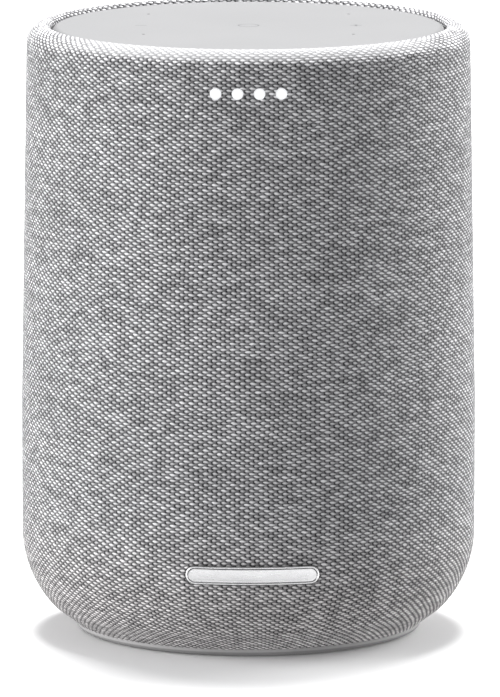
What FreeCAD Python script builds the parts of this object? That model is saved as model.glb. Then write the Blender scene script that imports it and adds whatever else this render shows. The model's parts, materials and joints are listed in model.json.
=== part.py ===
import FreeCAD, Part
import math
import os

# Compact fabric-wrapped smart speaker, 140 mm across and 188 mm tall.
# Axes: +Z up, front of the speaker faces -Y, +X is the right hand side seen from the front.
# Origin: centre of the footprint, on the surface the speaker stands on. Units: millimetres.

os.makedirs("parts", exist_ok=True)
V = FreeCAD.Vector

# ---------------------------------------------------------------- driving dimensions
FABRIC_T = 1.2            # knitted cover with its thin foam backing
FRAME_T = 1.8             # wall of the grille frame under the fabric
GAP = 0.1                 # fabric to frame
RIM_R_OUT = 5.7           # outer rounding of the top rim
RIM_R_IN = 1.6            # inner rounding of the top rim
RIM_CREST_R = 62.5        # radius at which the rim is highest
RIM_BOTTOM_Z = 183.2      # fabric tucks into the groove down to here
# outer profile of the fabric: sloping underside, two tangent arcs, straight wall, slight taper to the rim
SIDE_START = (53.6, 2.56)
UNDER_DEG = 37.4
UNDER_L = 8.72
ARC1_R, ARC1_DEG = 8.0, 49.36
ARC2_R = 34.28
SIDE_R = 70.0             # largest radius
TAPER_Z = 72.0            # taper starts here
RIM_Z, RIM_R = 182.3, 68.2  # end of the taper, start of the rim rounding

PANEL_TOP_Z = 187.2       # flat top of the touch panel
PANEL_R = 60.4            # radius of the panel
PANEL_EDGE_R = 2.2        # rounded edge of the panel
PANEL_T = 1.6

LED_Z = 175.2             # height of the four indicator dots
LED_PITCH = 6.6
LED_R = 1.75

BADGE_Z = 28.4            # pill badge low on the front
BADGE_X = 1.2             # slightly right of the middle
BADGE_L = 40.6
BADGE_H = 5.6

CAB_R = 64.0              # inner acoustic cabinet
CAB_T = 3.0
CAB_Z0 = 30.0
CAB_Z1 = 171.0
BAFFLE_Y = -42.0          # front face of the flat baffle
REAR_Y = 44.0             # rear flat of the cabinet
WOOFER_Z = 80.0
TWEETER_Z = 148.5
DRIVER_Y = -43.0          # drivers' flange plane (1 mm gasket in front of the baffle)

BTN_Z = 150.0             # rear control panel
BTN_X = 9.0
BTN_R = 4.5
BTN_TRAVEL = 0.6

POCKET_X = 15.0           # half width of the plug pocket under the base
POCKET_Y0 = 14.0
POCKET_Y1 = 49.0
POCKET_Z = 16.0
CORD_X = 4.0              # half width of the cord channel at the rear
CORD_Z = 6.8

BASE_SCREWS = [(-37.0, -14.0), (37.0, -14.0), (-37.0, 20.0), (37.0, 20.0)]
PSU_POSTS = [(-22.0, -38.0), (22.0, -38.0), (-27.0, -9.0), (27.0, -9.0)]

nodes = {}


# ---------------------------------------------------------------- helpers
def cyl(r, z0, z1, x=0.0, y=0.0):
    return Part.makeCylinder(r, z1 - z0, V(x, y, z0))


def ring(r0, r1, z0, z1, x=0.0, y=0.0):
    return cyl(r1, z0, z1, x, y).cut(cyl(r0, z0 - 1, z1 + 1, x, y))


def box(x0, x1, y0, y1, z0, z1):
    return Part.makeBox(x1 - x0, y1 - y0, z1 - z0, V(x0, y0, z0))


def ycyl(r, y0, y1, x, z):
    return Part.makeCylinder(r, y1 - y0, V(x, y0, z), V(0, 1, 0))


def lathe(points):
    """Closed polygon of (r, z) turned about Z."""
    pts = [V(r, 0, z) for r, z in points]
    face = Part.Face(Part.makePolygon(pts + [pts[0]]))
    return face.revolve(V(0, 0, 0), V(0, 0, 1), 360)


def many(shapes):
    return Part.makeCompound(shapes)


def fuse(*shapes):
    out = shapes[0]
    if len(shapes) > 1:
        out = out.multiFuse(list(shapes[1:]))
    return out.removeSplitter()


def pill_y(length, height, y0, y1, z, x=0.0):
    """Stadium-shaped prism along Y."""
    r = height / 2.0
    h = length / 2.0 - r
    return fuse(box(x - h, x + h, y0, y1, z - r, z + r), ycyl(r, y0, y1, x - h, z), ycyl(r, y0, y1, x + h, z))


# ---------------------------------------------------------------- outer profile and its offsets
def polar(c, r, deg):
    a = math.radians(deg)
    return V(c[0] + r * math.sin(a), 0, c[1] - r * math.cos(a))


def side_edges(off, z_top=None):
    """Edges of the side wall moved inwards by off, bottom to top, with the first and last point."""
    u = math.radians(UNDER_DEG)
    n = (-math.sin(u), math.cos(u))
    p0 = (SIDE_START[0], SIDE_START[1])
    p1 = (p0[0] + UNDER_L * math.cos(u), p0[1] + UNDER_L * math.sin(u))
    c1 = (p1[0] + ARC1_R * n[0], p1[1] + ARC1_R * n[1])
    e = polar(c1, ARC1_R, ARC1_DEG)
    a = math.radians(ARC1_DEG)
    c2 = (e.x - ARC2_R * math.sin(a), e.z + ARC2_R * math.cos(a))
    dx = SIDE_R - (c2[0] + ARC2_R)
    p0, c1, c2 = (p0[0] + dx, p0[1]), (c1[0] + dx, c1[1]), (c2[0] + dx, c2[1])
    q0 = V(p0[0] + n[0] * off, 0, p0[1] + n[1] * off)
    r1, r2 = ARC1_R - off, ARC2_R - off
    q1 = polar(c1, r1, UNDER_DEG)
    q2 = polar(c1, r1, ARC1_DEG)
    q3 = polar(c2, r2, 90.0)
    q4 = V(SIDE_R - off, 0, TAPER_Z)
    q5 = V(RIM_R - off, 0, RIM_Z)
    if z_top is not None:
        k = (z_top - q4.z) / (q5.z - q4.z)
        q5 = V(q4.x + (q5.x - q4.x) * k, 0, z_top)
    edges = [Part.makeLine(q0, q1),
             Part.Arc(q1, polar(c1, r1, (UNDER_DEG + ARC1_DEG) / 2), q2).toShape(),
             Part.Arc(q2, polar(c2, r2, (ARC1_DEG + 90.0) / 2), q3).toShape(),
             Part.makeLine(q3, q4), Part.makeLine(q4, q5)]
    return edges, q0, q5


def rim_edges(off, z_end):
    """Rounded rim from the top of the side to the inner wall of the groove."""
    ro, ri = RIM_R_OUT - off, RIM_R_IN - off
    zc = RIM_Z
    rc = RIM_CREST_R
    zi = zc + RIM_R_OUT - RIM_R_IN
    s = math.sqrt(0.5)
    a = Part.Arc(V(rc + ro, 0, zc), V(rc + ro * s, 0, zc + ro * s), V(rc, 0, zc + ro)).toShape()
    if ri < 0.1:
        return [a, Part.makeLine(V(rc, 0, zc + ro), V(rc, 0, z_end))], V(rc, 0, z_end)
    b = Part.Arc(V(rc, 0, zi + ri), V(rc - ri * s, 0, zi + ri * s), V(rc - ri, 0, zi)).toShape()
    c = Part.makeLine(V(rc - ri, 0, zi), V(rc - ri, 0, z_end))
    return [a, b, c], V(rc - ri, 0, z_end)


def turned(edges):
    w = Part.Wire(Part.__sortEdges__(edges))
    return Part.Face(w).revolve(V(0, 0, 0), V(0, 0, 1), 360)


def filled(off):
    """Whole body out to the profile offset inwards by off."""
    side, p, _ = side_edges(off)
    rim, end = rim_edges(off, RIM_BOTTOM_Z)
    edges = side + rim
    edges += [Part.makeLine(end, V(0, 0, end.z)), Part.makeLine(V(0, 0, end.z), V(0, 0, p.z)),
              Part.makeLine(V(0, 0, p.z), p)]
    return turned(edges)


# cord channel through the foot, base and lower rear edge
cord_cut = box(-CORD_X, CORD_X, 44.0, 80.0, -1.0, CORD_Z)
led_x = [LED_PITCH * k for k in (-1.5, -0.5, 0.5, 1.5)]
led_holes = [ycyl(LED_R + 0.05, -75, -60, x, LED_Z) for x in led_x]
bezel_hole = pill_y(37.2, 15.6, 58, 80, BTN_Z)
STUD_X = (BADGE_X - 13.0, BADGE_X + 13.0)
stud_holes = [ycyl(1.1, -75, -60, x, BADGE_Z) for x in STUD_X]

# fabric cover
side0, p0, _ = side_edges(0.0)
side1, p1, _ = side_edges(FABRIC_T)
rim0, end0 = rim_edges(0.0, RIM_BOTTOM_Z)
rim1, end1 = rim_edges(FABRIC_T, RIM_BOTTOM_Z)
fabric = turned(side0 + rim0 + [Part.makeLine(end0, end1)] + rim1 + side1 + [Part.makeLine(p1, p0)])
fabric = fabric.cut(many(led_holes + stud_holes + [bezel_hole, cord_cut]))
nodes["fabric_cover"] = fabric

# grille frame: slotted sleeve with a stiff top rim and a bottom flange
o1, o2 = FABRIC_T + GAP, FABRIC_T + GAP + FRAME_T
FRAME_RIM_Z = 181.1
side_o, po, _ = side_edges(o1)
side_i, pi, pi_top = side_edges(o2, FRAME_RIM_Z)
rimo, endo = rim_edges(o1, FRAME_RIM_Z)
frame = turned(side_o + rimo + [Part.makeLine(endo, pi_top)] + side_i + [Part.makeLine(pi, po)])
flange = ring(47.5, 56.0, 3.5, 5.3).common(filled(o1 + 0.3))
frame = frame.fuse(flange).removeSplitter()
cutters = []
for k in range(12):
    for z0 in (36.0, 70.0, 104.0, 138.0):
        b = box(-80, 80, -4.2, 4.2, z0, z0 + 29.0)
        b.rotate(V(0, 0, 0), V(0, 0, 1), 7.5 + 15.0 * k)
        cutters.append(b)
slots = cutters[0].multiFuse(cutters[1:])
frame = frame.cut(slots)
frame = frame.cut(many(led_holes + stud_holes + [bezel_hole, cord_cut]))
frame = frame.fuse(pill_y(40.4, 18.8, 50, 75, BTN_Z).cut(bezel_hole).common(filled(o1)).cut(filled(o2))).removeSplitter()
nodes["grille_frame"] = frame

# ---------------------------------------------------------------- top
ZP = PANEL_TOP_Z
panel = lathe([(0, ZP - PANEL_T), (0, ZP), (PANEL_R - PANEL_EDGE_R, ZP)]
              + [(PANEL_R - PANEL_EDGE_R + PANEL_EDGE_R * math.sin(math.radians(a)),
                  ZP - PANEL_EDGE_R + PANEL_EDGE_R * math.cos(math.radians(a))) for a in range(9, 91, 9)]
              + [(PANEL_R, 181.15), (PANEL_R - 1.5, 181.15), (PANEL_R - 1.5, ZP - PANEL_T)])
e1 = Part.Arc(V(PANEL_R - PANEL_EDGE_R, 0, ZP), V(PANEL_R - PANEL_EDGE_R * (1 - math.sqrt(0.5)), 0, ZP - PANEL_EDGE_R * (1 - math.sqrt(0.5))), V(PANEL_R, 0, ZP - PANEL_EDGE_R)).toShape()
pp = [V(PANEL_R, 0, ZP - PANEL_EDGE_R), V(PANEL_R, 0, 181.15), V(PANEL_R - 1.5, 0, 181.15),
      V(PANEL_R - 1.5, 0, ZP - PANEL_T), V(0, 0, ZP - PANEL_T), V(0, 0, ZP), V(PANEL_R - PANEL_EDGE_R, 0, ZP)]
panel = turned([e1] + [Part.makeLine(a, b) for a, b in zip(pp, pp[1:])])
MIC_XY = [(-32.0, -20.5), (32.0, -20.5), (-31.0, 28.0), (31.0, 28.0)]
mic_holes = [cyl(0.5, 180, 190, x, y) for x, y in MIC_XY]
panel = panel.cut(many(mic_holes))
nodes["top_panel"] = panel

nodes["top_seal_ring"] = ring(60.45, 62.15, 181.1, 182.9)

touch = cyl(54.0, 184.1, 185.2)
touch = touch.cut(many([cyl(0.5, 180, 190, x, y) for x, y in MIC_XY] + [box(-8, 8, 44, 60, 180, 190)]))
parts_under = [box(-6, 6, -6, 6, 182.9, 184.1), box(12, 16, -4, 4, 183.1, 184.1), box(-18, -13, -3, 3, 183.1, 184.1)]
nodes["touch_board"] = fuse(touch, *parts_under)
nodes["microphones"] = many([box(x - 1.75, x + 1.75, y - 1.35, y + 1.35, 183.05, 184.1) for x, y in MIC_XY])
nodes["mic_gaskets"] = many([ring(0.7, 2.6, 185.2, 185.6, x, y) for x, y in MIC_XY])

carrier = fuse(cyl(64.3, 179.4, 181.05), ring(57.2, 58.7, 181.05, 183.5), ring(44.0, 45.6, 181.05, 184.1))
carrier_bores = [cyl(1.5, 170, 190, 52 * math.cos(math.radians(a)), 52 * math.sin(math.radians(a))) for a in (90, 210, 330)]
carrier = carrier.cut(many(carrier_bores + [box(-9, 9, 34, 43, 178, 182), cyl(14, 178, 182)]))
nodes["top_carrier"] = carrier
nodes["top_carrier_screws"] = many([
    fuse(cyl(1.45, 173.0, 181.05, 52 * math.cos(math.radians(a)), 52 * math.sin(math.radians(a))),
         cyl(2.7, 181.05, 182.8, 52 * math.cos(math.radians(a)), 52 * math.sin(math.radians(a))).cut(
             box(-0.4, 0.4, -1.6, 1.6, 182.0, 183.0).translate(V(52 * math.cos(math.radians(a)), 52 * math.sin(math.radians(a)), 0))))
    for a in (90, 210, 330)])

# ---------------------------------------------------------------- front indicator
nodes["led_board"] = fuse(box(-17, 17, -61.4, -60.2, 172.4, 179.2),
                          *[box(x - 1.2, x + 1.2, -62.2, -61.4, LED_Z - 1.2, LED_Z + 1.2) for x in led_x])
skin_led = filled(0.02)
pegs = [ycyl(LED_R, -75, -63.3, x, LED_Z).common(skin_led) for x in led_x]
nodes["led_light_guide"] = fuse(box(-12.2, 12.2, -63.4, -62.25, 172.9, 179.2), *pegs)

# ---------------------------------------------------------------- badge
badge_prism = pill_y(BADGE_L, BADGE_H, -80, -50, BADGE_Z, BADGE_X)
badge_inner = pill_y(BADGE_L - 1.5, BADGE_H - 1.5, -80, -50, BADGE_Z, BADGE_X)


def local_solid(off):
    """The lower body only, for what sits on the fabric there."""
    side, p, _ = side_edges(off)
    top = V(SIDE_R - off, 0, TAPER_Z)
    edges = side[:4] + [Part.makeLine(top, V(0, 0, TAPER_Z)), Part.makeLine(V(0, 0, TAPER_Z), V(0, 0, p.z)),
                        Part.makeLine(V(0, 0, p.z), p)]
    return turned(edges)


badge = badge_prism.common(local_solid(-1.0)).cut(local_solid(-0.05))
badge = badge.cut(badge_inner.cut(local_solid(-0.5)))
studs = []
for x in STUD_X:
    studs.append(ycyl(1.0, -70.6, -62.6, x, BADGE_Z).common(local_solid(-0.4)))
nodes["badge_plate"] = fuse(badge, *studs)
nodes["badge_push_nuts"] = many([ycyl(2.4, -64.5, -63.8, x, BADGE_Z).cut(ycyl(1.02, -70, -60, x, BADGE_Z)) for x in STUD_X])

# ---------------------------------------------------------------- acoustic cabinet
outer = cyl(CAB_R, CAB_Z0, CAB_Z1).cut(box(-80, 80, -80, BAFFLE_Y, 0, 200)).cut(box(-80, 80, REAR_Y, 80, 0, 200))
inner = cyl(CAB_R - CAB_T, CAB_Z0 + CAB_T, CAB_Z1 + 5).cut(box(-80, 80, -80, BAFFLE_Y + 3.5, 0, 200)).cut(box(-80, 80, REAR_Y - 3.0, 80, 0, 200))
shell = outer.cut(inner)
w_lobe = [(33.6 * sx, WOOFER_Z + 33.6 * sz) for sx in (-1, 1) for sz in (-1, 1)]
t_lobe = [(12.45 * sx, TWEETER_Z + 12.45 * sz) for sx in (-1, 1) for sz in (-1, 1)]
bosses = [ycyl(4.0, BAFFLE_Y + 3.0, BAFFLE_Y + 11.0, x, z) for x, z in w_lobe]
bosses += [ycyl(3.0, BAFFLE_Y + 3.0, BAFFLE_Y + 9.0, x, z) for x, z in t_lobe]
lid_pts = [(58.0 * math.cos(math.radians(a)), 58.0 * math.sin(math.radians(a))) for a in (0, 40, 140, 180, 218, 322)]
lid_bosses = [cyl(4.0, 155.0, CAB_Z1, x, y).common(cyl(CAB_R - 1, 0, 200)) for x, y in lid_pts]
rear_posts = [ycyl(3.0, REAR_Y - 0.5, 47.0, x, z) for x in (-34, 34) for z in (44.0, 134.0)]
shell = shell.multiFuse(bosses + lid_bosses + rear_posts)
holes = [ycyl(42.25, -50, -38, 0, WOOFER_Z), ycyl(15.3, -50, -30, 0, TWEETER_Z)]
holes += [ycyl(1.65, -50, BAFFLE_Y + 10.0, x, z) for x, z in w_lobe]
holes += [ycyl(1.15, -50, BAFFLE_Y + 8.0, x, z) for x, z in t_lobe]
holes += [cyl(1.3, 158.0, 175.0, x, y) for x, y in lid_pts]
holes += [ycyl(1.1, 41.5, 50, x, z) for x in (-34, 34) for z in (44.0, 134.0)]
holes += [cyl(1.65, 20, CAB_Z0 + 2.4, x, y) for x, y in BASE_SCREWS]
shell = shell.cut(many(holes)).removeSplitter()
nodes["cabinet_shell"] = shell

lid_shape = cyl(CAB_R, CAB_Z1 + 0.6, CAB_Z1 + 2.8).cut(box(-80, 80, -80, BAFFLE_Y, 0, 200)).cut(box(-80, 80, REAR_Y + 10, 80, 0, 200))
lid_spigot = cyl(CAB_R - CAB_T - 0.3, CAB_Z1 - 3.0, CAB_Z1 + 0.6).cut(box(-80, 80, -80, BAFFLE_Y + 3.8, 0, 200)).cut(box(-80, 80, REAR_Y - 3.3, 80, 0, 200))
lid_spigot = lid_spigot.cut(cyl(46.0, 150, CAB_Z1 + 0.6).cut(box(-80, 80, -80, BAFFLE_Y + 6.0, 0, 200)))
lid_spigot = lid_spigot.cut(many([cyl(4.3, 150, 200, x, y) for x, y in lid_pts]))
lid = fuse(lid_shape, lid_spigot)
carrier_posts = [cyl(4.0, CAB_Z1 + 2.8, 179.4, 52 * math.cos(math.radians(a)), 52 * math.sin(math.radians(a))) for a in (90, 210, 330)]
lid = lid.multiFuse(carrier_posts).cut(many(
    [cyl(1.5, 172.9, 185, 52 * math.cos(math.radians(a)), 52 * math.sin(math.radians(a))) for a in (90, 210, 330)]
    + [cyl(1.7, 160, 180, x, y) for x, y in lid_pts])).removeSplitter()
nodes["cabinet_lid"] = lid
g_out = cyl(CAB_R - 0.6, CAB_Z1, CAB_Z1 + 0.6).cut(box(-80, 80, -80, BAFFLE_Y + 0.6, 0, 200)).cut(box(-80, 80, REAR_Y - 0.6, 80, 0, 200))
g_in = cyl(CAB_R - CAB_T, 160, 180).cut(box(-80, 80, -80, BAFFLE_Y + 3.5, 0, 200)).cut(box(-80, 80, REAR_Y - 3.0, 80, 0, 200))
nodes["cabinet_gasket"] = g_out.cut(g_in).cut(many([cyl(1.8, 160, 180, x, y) for x, y in lid_pts]))
nodes["cabinet_screws"] = many([fuse(cyl(1.25, 162.0, CAB_Z1 + 2.8, x, y), cyl(2.6, CAB_Z1 + 2.8, CAB_Z1 + 4.6, x, y).cut(
    box(x - 1.6, x + 1.6, y - 0.4, y + 0.4, CAB_Z1 + 3.8, CAB_Z1 + 5))) for x, y in lid_pts])
nodes["damping_foam"] = box(-44, 44, 29.0, 40.6, CAB_Z0 + 4.0, 150.0).common(cyl(CAB_R - CAB_T - 0.4, 0, 200))


# ---------------------------------------------------------------- drivers
def driver(shape, z):
    """Turn a shape built along +Z (front of the driver up, flange rear face at 0) to face -Y."""
    s = shape.copy()
    s.rotate(V(0, 0, 0), V(1, 0, 0), 90)
    s.translate(V(0, DRIVER_Y, z))
    return s


# woofer, 89 mm class
basket = lathe([(40.4, 0.0), (41.8, 2.0), (41.8, 3.0), (46.5, 3.0), (46.5, 0.0), (42.0, 0.0), (42.0, -1.0),
                (29.6, -17.0), (29.6, -18.6), (26.1, -18.6), (26.1, -28.6), (13.6, -28.6), (13.6, -27.0),
                (24.5, -27.0), (24.5, -17.0), (28.0, -17.0)])
lobes = [cyl(4.0, 0.0, 3.0, 33.6 * a, 33.6 * b) for a in (-1, 1) for b in (-1, 1)]
lobes = [c.cut(cyl(42.5, -5, 5)) for c in lobes]
basket = basket.multiFuse(lobes)
win = []
for k in range(6):
    w = Part.makeBox(40, 20, 11.5, V(18, -10, -15.5))
    w.rotate(V(0, 0, 0), V(0, 0, 1), 60 * k + 30)
    win.append(w)
basket = basket.cut(win[0].multiFuse(win[1:]))
basket = basket.cut(many([cyl(1.8, -5, 5, 33.6 * a, 33.6 * b) for a in (-1, 1) for b in (-1, 1)])).removeSplitter()
nodes["woofer_basket"] = driver(basket, WOOFER_Z)
nodes["woofer_top_plate"] = driver(ring(13.5, 31.0, -33.6, -28.6), WOOFER_Z)
nodes["woofer_magnet"] = driver(ring(16.5, 35.0, -43.6, -33.6), WOOFER_Z)
nodes["woofer_yoke"] = driver(fuse(cyl(31.0, -48.6, -43.6), cyl(12.2, -43.6, -28.2)).cut(cyl(4.0, -50, -20)), WOOFER_Z)
nodes["woofer_cone"] = driver(lathe([(12.76, -14.0), (12.76, -11.6), (15.4, -10.0), (26.0, -3.4), (33.6, 2.5), (36.2, 2.5), (36.2, 2.0), (33.8, 2.0), (26.3, -4.0),
                                     (16.0, -10.8), (13.4, -12.4), (13.4, -14.0)]), WOOFER_Z)
nodes["woofer_surround"] = driver(turned([
    Part.makeLine(V(34.4, 0, 2.56), V(35.7, 0, 2.56)), Part.makeLine(V(35.7, 0, 2.56), V(36.3, 0, 2.56)),
    Part.Arc(V(36.3, 0, 2.56), V(38.85, 0, 5.2), V(41.4, 0, 3.06)).toShape(),
    Part.makeLine(V(41.4, 0, 3.06), V(45.0, 0, 3.06)), Part.makeLine(V(45.0, 0, 3.06), V(45.0, 0, 3.56)),
    Part.makeLine(V(45.0, 0, 3.56), V(41.9, 0, 3.56)),
    Part.Arc(V(41.9, 0, 3.56), V(38.85, 0, 6.0), V(35.8, 0, 3.06)).toShape(),
    Part.makeLine(V(35.8, 0, 3.06), V(34.4, 0, 3.06)), Part.makeLine(V(34.4, 0, 3.06), V(34.4, 0, 2.56))]), WOOFER_Z)
spider_pts = [(12.82, -16.2)] + [(14.0 + i * 1.25, -16.2 + (0.7 if i % 2 == 0 else -0.0)) for i in range(9)] + [(27.8, -16.4)]
spider_low = [(r, z - 0.5) for r, z in reversed(spider_pts)]
nodes["woofer_spider"] = driver(lathe(spider_pts + spider_low), WOOFER_Z)
nodes["woofer_voice_coil"] = driver(lathe([(12.55, -35.6), (12.55, -11.8), (12.72, -11.8), (12.72, -26.6), (13.05, -26.6), (13.05, -35.6)]), WOOFER_Z)

def dome(rim_r, height, z_rim, t):
    R = (rim_r ** 2 + height ** 2) / (2 * height)
    zc = z_rim + height - R
    s = Part.makeSphere(R, V(0, 0, zc)).cut(Part.makeSphere(R - t, V(0, 0, zc)))
    return s.common(cyl(rim_r + 2, z_rim, z_rim + height + 2))


nodes["woofer_dust_cap"] = driver(dome(15.2, 4.4, -9.95, 0.4), WOOFER_Z)
nodes["woofer_gasket"] = driver(fuse(ring(42.3, 46.3, -1.0, 0.0), *[cyl(3.8, -1, 0, 33.6 * a, 33.6 * b).cut(cyl(42.4, -5, 5)) for a in (-1, 1) for b in (-1, 1)]).cut(
    many([cyl(1.8, -5, 5, 33.6 * a, 33.6 * b) for a in (-1, 1) for b in (-1, 1)])), WOOFER_Z)
w_screws = []
for a in (-1, 1):
    for b in (-1, 1):
        s = fuse(cyl(1.6, -9.5, 3.0, 33.6 * a, 33.6 * b), cyl(3.0, 3.0, 4.9, 33.6 * a, 33.6 * b))
        w_screws.append(s.cut(box(33.6 * a - 1.8, 33.6 * a + 1.8, 33.6 * b - 0.4, 33.6 * b + 0.4, 4.0, 6)).cut(box(33.6 * a - 0.4, 33.6 * a + 0.4, 33.6 * b - 1.8, 33.6 * b + 1.8, 4.0, 6)))
w_screws = [s.cut(cyl(45.05, 2.9, 8)) for s in w_screws]
nodes["woofer_screws"] = driver(many(w_screws), WOOFER_Z)
nodes["woofer_terminals"] = driver(fuse(box(-7, 7, -30.4, -28.8, -26.6, -19.4), box(-7, 7, -28.8, -26.15, -20.6, -19.4),
                                        box(-5.4, -2.6, -34.4, -30.4, -23.4, -22.6), box(2.6, 5.4, -34.4, -30.4, -23.4, -22.6)), WOOFER_Z)

# tweeter, 20 mm
face = lathe([(12.4, 0.0), (15.0, 3.5), (20.0, 3.5), (20.0, 0.0), (15.0, 0.0), (15.0, -3.0), (12.8, -3.0), (12.8, 0.0)])
face = face.cut(many([cyl(1.3, -5, 5, 12.45 * a, 12.45 * b) for a in (-1, 1) for b in (-1, 1)]
                     + [cyl(2.3, 1.7, 5, 12.45 * a, 12.45 * b) for a in (-1, 1) for b in (-1, 1)]))
nodes["tweeter_faceplate"] = driver(face, TWEETER_Z)
nodes["tweeter_screws"] = driver(many([fuse(cyl(1.1, -8.5, 1.7, 12.45 * a, 12.45 * b), cyl(2.15, 1.7, 3.3, 12.45 * a, 12.45 * b)).cut(
    box(12.45 * a - 1.3, 12.45 * a + 1.3, 12.45 * b - 0.35, 12.45 * b + 0.35, 2.6, 5)) for a in (-1, 1) for b in (-1, 1)]), TWEETER_Z)
nodes["tweeter_gasket"] = driver(ring(15.35, 19.6, -1.0, 0.0).cut(many([cyl(1.4, -5, 5, 12.45 * a, 12.45 * b) for a in (-1, 1) for b in (-1, 1)])), TWEETER_Z)
nodes["tweeter_yoke"] = driver(cyl(14.9, -13.0, -3.05).cut(cyl(10.9, -10.5, 0)), TWEETER_Z)
nodes["tweeter_magnet"] = driver(cyl(9.0, -10.5, -5.8), TWEETER_Z)
nodes["tweeter_pole_plate"] = driver(cyl(9.5, -5.8, -3.6), TWEETER_Z)
nodes["tweeter_surround"] = driver(turned([
    Part.makeLine(V(10.25, 0, -0.6), V(10.75, 0, -0.6)),
    Part.Arc(V(10.75, 0, -0.6), V(11.5, 0, 0.05), V(12.2, 0, -0.6)).toShape(),
    Part.makeLine(V(12.2, 0, -0.6), V(12.75, 0, -0.6)), Part.makeLine(V(12.75, 0, -0.6), V(12.75, 0, -0.3)),
    Part.makeLine(V(12.75, 0, -0.3), V(12.4, 0, -0.3)),
    Part.Arc(V(12.4, 0, -0.3), V(11.5, 0, 0.35), V(10.55, 0, -0.3)).toShape(),
    Part.makeLine(V(10.55, 0, -0.3), V(10.25, 0, -0.3)), Part.makeLine(V(10.25, 0, -0.3), V(10.25, 0, -0.6))]), TWEETER_Z)
nodes["tweeter_dome"] = driver(dome(10.2, 3.6, -0.6, 0.25), TWEETER_Z)
nodes["tweeter_voice_coil"] = driver(lathe([(9.9, -5.9), (9.9, -0.75), (10.05, -0.75), (10.05, -3.0), (10.35, -3.0), (10.35, -5.9)]), TWEETER_Z)

# ---------------------------------------------------------------- rear electronics bay
pcb_holes = [ycyl(1.3, 40, 60, x, z) for x in (-34, 34) for z in (44.0, 134.0)]
board = box(-38, 38, 47.0, 48.6, 40.0, 138.0).cut(many(pcb_holes))
chips = [box(-8, 8, 48.6, 49.8, 84, 100), box(-30, -12, 48.6, 51.6, 104, 122), box(14, 30, 48.6, 53.0, 110, 118),
         box(-32, -26, 48.6, 50.4, 60, 72), box(20, 32, 48.6, 54.0, 48, 56), ycyl(4.0, 48.6, 56.0, -24, 52), ycyl(4.0, 48.6, 56.0, -12, 52),
         box(0, 10, 48.6, 53.0, 46, 55)]
nodes["main_board"] = fuse(board, *chips)
sink = box(-18, 18, 49.8, 52.2, 66, 102)
fins = [box(x - 0.6, x + 0.6, 52.2, 60.0, 66, 102) for x in (-17.4, -12.4, -7.4, -2.5, 2.5, 7.4, 12.4, 17.4)]
nodes["heat_sink"] = fuse(sink, *fins)
nodes["wifi_antennas"] = many([box(40.0, 45.6, REAR_Y, REAR_Y + 0.8, 112, 158), box(-45.6, -40.0, REAR_Y, REAR_Y + 0.8, 112, 158)])
nodes["main_board_screws"] = many([fuse(ycyl(1.05, 42.0, 48.6, x, z), ycyl(2.3, 48.6, 50.2, x, z).cut(box(x - 0.35, x + 0.35, 49.6, 51, z - 1.4, z + 1.4))) for x in (-34, 34) for z in (44.0, 134.0)])

# rear control panel
skin_bezel = filled(0.3)
bezel = pill_y(37.0, 15.4, 62.5, 80, BTN_Z).common(skin_bezel)
bezel = bezel.cut(many([ycyl(BTN_R + 0.1, 50, 80, x, BTN_Z) for x in (-BTN_X, BTN_X)]))
posts = [ycyl(1.8, 55.2, 63.0, 0, BTN_Z + s * 4.6) for s in (-1, 1)]
post_pins = [ycyl(0.9, 53.5, 55.3, 0, BTN_Z + s * 4.6) for s in (-1, 1)]
nodes["rear_control_bezel"] = fuse(bezel, *(posts + post_pins))


def button(x):
    cap = ycyl(BTN_R, 61.4, 68.5, x, BTN_Z)
    dome_s = Part.makeSphere(40.0, V(x, 68.5 - 40.0, BTN_Z))
    cap = cap.common(dome_s)
    return fuse(cap, ycyl(5.4, 61.4, 62.3, x, BTN_Z), ycyl(1.5, 59.4, 61.5, x, BTN_Z))


nodes["mic_mute_button"] = button(BTN_X)
nodes["pairing_button"] = button(-BTN_X)
nodes["mute_switch_plunger"] = ycyl(1.6, 57.2, 59.4, BTN_X, BTN_Z)
nodes["pairing_switch_plunger"] = ycyl(1.6, 57.2, 59.4, -BTN_X, BTN_Z)
nodes["tact_switches"] = many([box(x - 3, x + 3, 55.2, 58.4, BTN_Z - 3, BTN_Z + 3).cut(ycyl(1.68, 56.3, 60, x, BTN_Z)) for x in (-BTN_X, BTN_X)])
nodes["button_board"] = box(-16, 16, 54.0, 55.2, BTN_Z - 6.4, BTN_Z + 6.4).cut(many([ycyl(0.95, 50, 60, 0, BTN_Z + s * 4.6) for s in (-1, 1)]))

# ---------------------------------------------------------------- base
pocket = box(-POCKET_X, POCKET_X, POCKET_Y0, POCKET_Y1, -5, POCKET_Z)
nodes["rubber_foot"] = ring(43.6, 50.2, 0.0, 1.0).cut(many([box(-POCKET_X - 2, POCKET_X + 2, 30, 60, -1, 2)]))
base_ring = turned([Part.makeLine(V(46.5, 0, 1.0), V(50.3, 0, 1.0)), Part.makeLine(V(50.3, 0, 1.0), V(50.3, 0, 0.4)),
                    Part.makeLine(V(50.3, 0, 0.4), V(51.7, 0, 0.4)),
                    Part.Arc(V(51.7, 0, 0.4), V(52.75, 0, 0.88), V(53.15, 0, 1.8)).toShape(),
                    Part.makeLine(V(53.15, 0, 1.8), V(53.3, 0, 2.46)),
                    Part.makeLine(V(53.3, 0, 2.46), V(52.3, 0, 3.3)), Part.makeLine(V(52.3, 0, 3.3), V(50.0, 0, 3.45)),
                    Part.makeLine(V(50.0, 0, 3.45), V(48.5, 0, 3.45)), Part.makeLine(V(48.5, 0, 3.45), V(48.5, 0, 2.2)),
                    Part.makeLine(V(48.5, 0, 2.2), V(46.5, 0, 2.2)), Part.makeLine(V(46.5, 0, 2.2), V(46.5, 0, 1.0))])
base_ring = base_ring.cut(cord_cut).cut(box(-POCKET_X - 2.3, POCKET_X + 2.3, 30, 47.5, 0, 10))
nodes["base_ring"] = base_ring
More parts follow.
